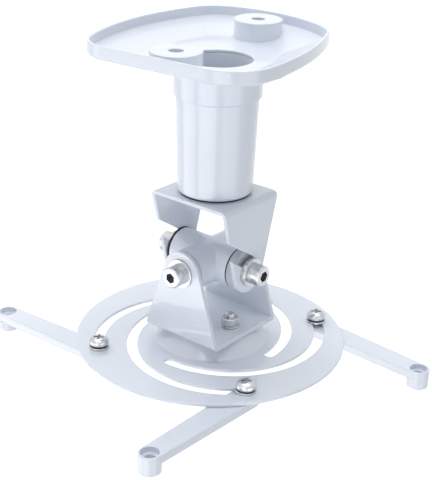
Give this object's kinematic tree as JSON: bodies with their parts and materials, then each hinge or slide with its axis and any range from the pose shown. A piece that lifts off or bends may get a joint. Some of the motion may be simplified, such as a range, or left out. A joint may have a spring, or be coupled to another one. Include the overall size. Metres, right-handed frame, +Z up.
{
  "type": "projector ceiling mount",
  "caption": "Ceiling mount for a projector: dished plate, swivel column, tilting and rolling knuckle, and a slotted disc with swinging arms.",
  "frame": {"origin": "centre of the two ceiling holes, in the ceiling plane", "axes": "+Z up to the ceiling along the swivel axis; +X along the tilt axis, +Y along the roll axis"},
  "size_m": [0.2552, 0.2553, 0.2053],
  "materials": {
    "white_paint": "semi-gloss powder coat",
    "zinc": "zinc plated",
    "pale_plastic": "matte",
    "black_plastic": "matte"
  },
  "bodies": {
    "ceiling_side": {"ceiling_plate": "white_paint", "column": "white_paint", "swivel_friction_washer": "black_plastic", "swivel_bolt": "zinc", "swivel_washer": "zinc", "swivel_nut": "zinc"},
    "yoke": {"upper_bracket": "white_paint"},
    "cross_knuckle": {"knuckle": "white_paint", "tilt_screw_right": "zinc", "tilt_screw_left": "zinc", "roll_screw_back": "zinc", "roll_screw_front": "zinc", "tilt_washer_right": "zinc", "tilt_washer_left": "zinc", "roll_washer_back": "zinc", "roll_washer_front": "zinc", "tilt_bush_right": "pale_plastic", "tilt_bush_left": "black_plastic", "roll_bush_back": "pale_plastic", "roll_bush_front": "pale_plastic"},
    "carrier": {"lower_bracket": "white_paint", "adapter_disc": "white_paint", "bracket_bolts": "zinc", "bracket_washers": "zinc", "bracket_nuts": "zinc"},
    "slider_front": {"arm_screw_front": "zinc", "arm_washer_front": "zinc", "arm_ring_front": "black_plastic"},
    "swing_arm_front": {"arm_front": "white_paint"},
    "slider_right": {"arm_screw_right": "zinc", "arm_washer_right": "zinc", "arm_ring_right": "black_plastic"},
    "swing_arm_right": {"arm_right": "white_paint"},
    "slider_back": {"arm_screw_back": "zinc", "arm_washer_back": "zinc", "arm_ring_back": "black_plastic"},
    "swing_arm_back": {"arm_back": "white_paint"},
    "slider_left": {"arm_screw_left": "zinc", "arm_washer_left": "zinc", "arm_ring_left": "black_plastic"},
    "swing_arm_left": {"arm_left": "white_paint"}
  },
  "joints": [
    {"name": "swivel", "type": "hinge", "parent": "ceiling_side", "child": "yoke", "pos_m": [0.00696, -0.00869, -0.093], "axis": [0, 0, 1], "continuous": true},
    {"name": "tilt", "type": "hinge", "parent": "yoke", "child": "cross_knuckle", "pos_m": [0.00696, -0.00869, -0.1383], "axis": [1, 0, 0], "range_deg": [-25, 25]},
    {"name": "roll", "type": "hinge", "parent": "cross_knuckle", "child": "carrier", "pos_m": [0.00696, -0.00869, -0.1383], "axis": [0, 1, 0], "range_deg": [-20, 20]},
    {"name": "travel_front", "type": "hinge", "parent": "carrier", "child": "slider_front", "pos_m": [0.02163, -0.01128, -0.1912], "axis": [0, 0, -1], "range_deg": [0, 60]},
    {"name": "swing_front", "type": "hinge", "parent": "slider_front", "child": "swing_arm_front", "pos_m": [0.06702, -0.04882, -0.1933], "axis": [0, 0, 1], "continuous": true},
    {"name": "travel_right", "type": "hinge", "parent": "carrier", "child": "slider_right", "pos_m": [0.00955, 0.00598, -0.1912], "axis": [0, 0, -1], "range_deg": [0, 60]},
    {"name": "swing_right", "type": "hinge", "parent": "slider_right", "child": "swing_arm_right", "pos_m": [0.04709, 0.05137, -0.1933], "axis": [0, 0, 1], "continuous": true},
    {"name": "travel_back", "type": "hinge", "parent": "carrier", "child": "slider_back", "pos_m": [-0.00771, -0.0061, -0.1912], "axis": [0, 0, -1], "range_deg": [0, 60]},
    {"name": "swing_back", "type": "hinge", "parent": "slider_back", "child": "swing_arm_back", "pos_m": [-0.0531, 0.03144, -0.1933], "axis": [0, 0, 1], "continuous": true},
    {"name": "travel_left", "type": "hinge", "parent": "carrier", "child": "slider_left", "pos_m": [0.00437, -0.02336, -0.1912], "axis": [0, 0, -1], "range_deg": [0, 60]},
    {"name": "swing_left", "type": "hinge", "parent": "slider_left", "child": "swing_arm_left", "pos_m": [-0.03317, -0.06875, -0.1933], "axis": [0, 0, 1], "continuous": true}
  ]
}
